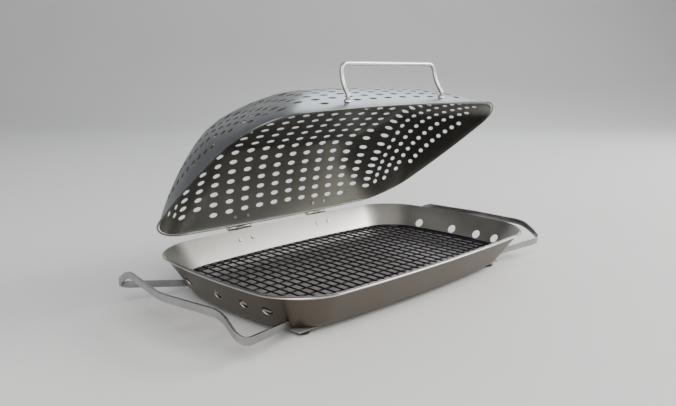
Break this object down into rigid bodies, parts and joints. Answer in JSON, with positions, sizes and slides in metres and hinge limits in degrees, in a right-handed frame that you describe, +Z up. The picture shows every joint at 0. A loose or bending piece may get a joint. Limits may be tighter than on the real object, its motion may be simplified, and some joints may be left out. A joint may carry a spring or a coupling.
{
  "type": "lidded grill basket",
  "caption": "Lidded grilling basket: shallow tray with sloping walls, end handles and feet, lift-out wire rack, and a domed lid with a top handle on two back hinges",
  "frame": {"origin": "on the floor, at the undersides of the four foot pads, under the middle of the whole basket as it rests, which is 2.95 mm behind the middle of the tray", "axes": "+X along the tray's length to the right handle, +Y to the hinge side at the back, +Z up; the lid is propped open 35.7 degrees at rest"},
  "size_m": [0.444, 0.2378, 0.2178],
  "materials": {
    "tray_sheet": "pressed stainless sheet, softly satin",
    "lid_sheet": "pressed stainless sheet, satin, darker inside",
    "rim_wire": "polished wire along the rims",
    "handle": "bright satin bar",
    "hinge": "satin stamped leaves and turned pins",
    "fastener": "domed rivets, collars and nuts",
    "rack_wire": "dark drawn wire with small bright glints",
    "foot_pad": "matt black heat-proof enamel"
  },
  "bodies": {
    "tray": {"tray_pan": "tray_sheet", "tray_rim_wire": "rim_wire", "side_handle_left": "handle", "side_handle_right": "handle", "tray_leaf_left": "hinge", "tray_leaf_right": "hinge", "tray_rivet_left_1": "fastener", "tray_rivet_left_2": "fastener", "tray_rivet_right_1": "fastener", "tray_rivet_right_2": "fastener", "hinge_pin_left": "hinge", "hinge_pin_right": "hinge", "foot_plate_front_left": "tray_sheet", "foot_plate_back_left": "tray_sheet", "foot_plate_front_right": "tray_sheet", "foot_plate_back_right": "tray_sheet", "foot_pad_front_left": "foot_pad", "foot_pad_back_left": "foot_pad", "foot_pad_front_right": "foot_pad", "foot_pad_back_right": "foot_pad"},
    "lid": {"lid_shell": "lid_sheet", "lid_rim_wire": "rim_wire", "lid_handle": "handle", "lid_handle_collar_left": "fastener", "lid_handle_collar_right": "fastener", "lid_handle_nut_left": "fastener", "lid_handle_nut_right": "fastener", "lid_leaf_left": "hinge", "lid_leaf_right": "hinge", "lid_rivet_left_1": "fastener", "lid_rivet_left_2": "fastener", "lid_rivet_right_1": "fastener", "lid_rivet_right_2": "fastener"},
    "rack": {"rack_frame": "rack_wire", "rack_wires": "rack_wire"}
  },
  "joints": [
    {"name": "lid_hinge", "type": "hinge", "parent": "tray", "child": "lid", "pos_m": [0, 0.11605, 0.0429], "axis": [-1, 0, 0], "range_deg": [-35.7, 64.3]},
    {"name": "rack_lift", "type": "slide", "parent": "tray", "child": "rack", "axis": [0, 0, 1], "range_m": [0, 0.03]}
  ]
}
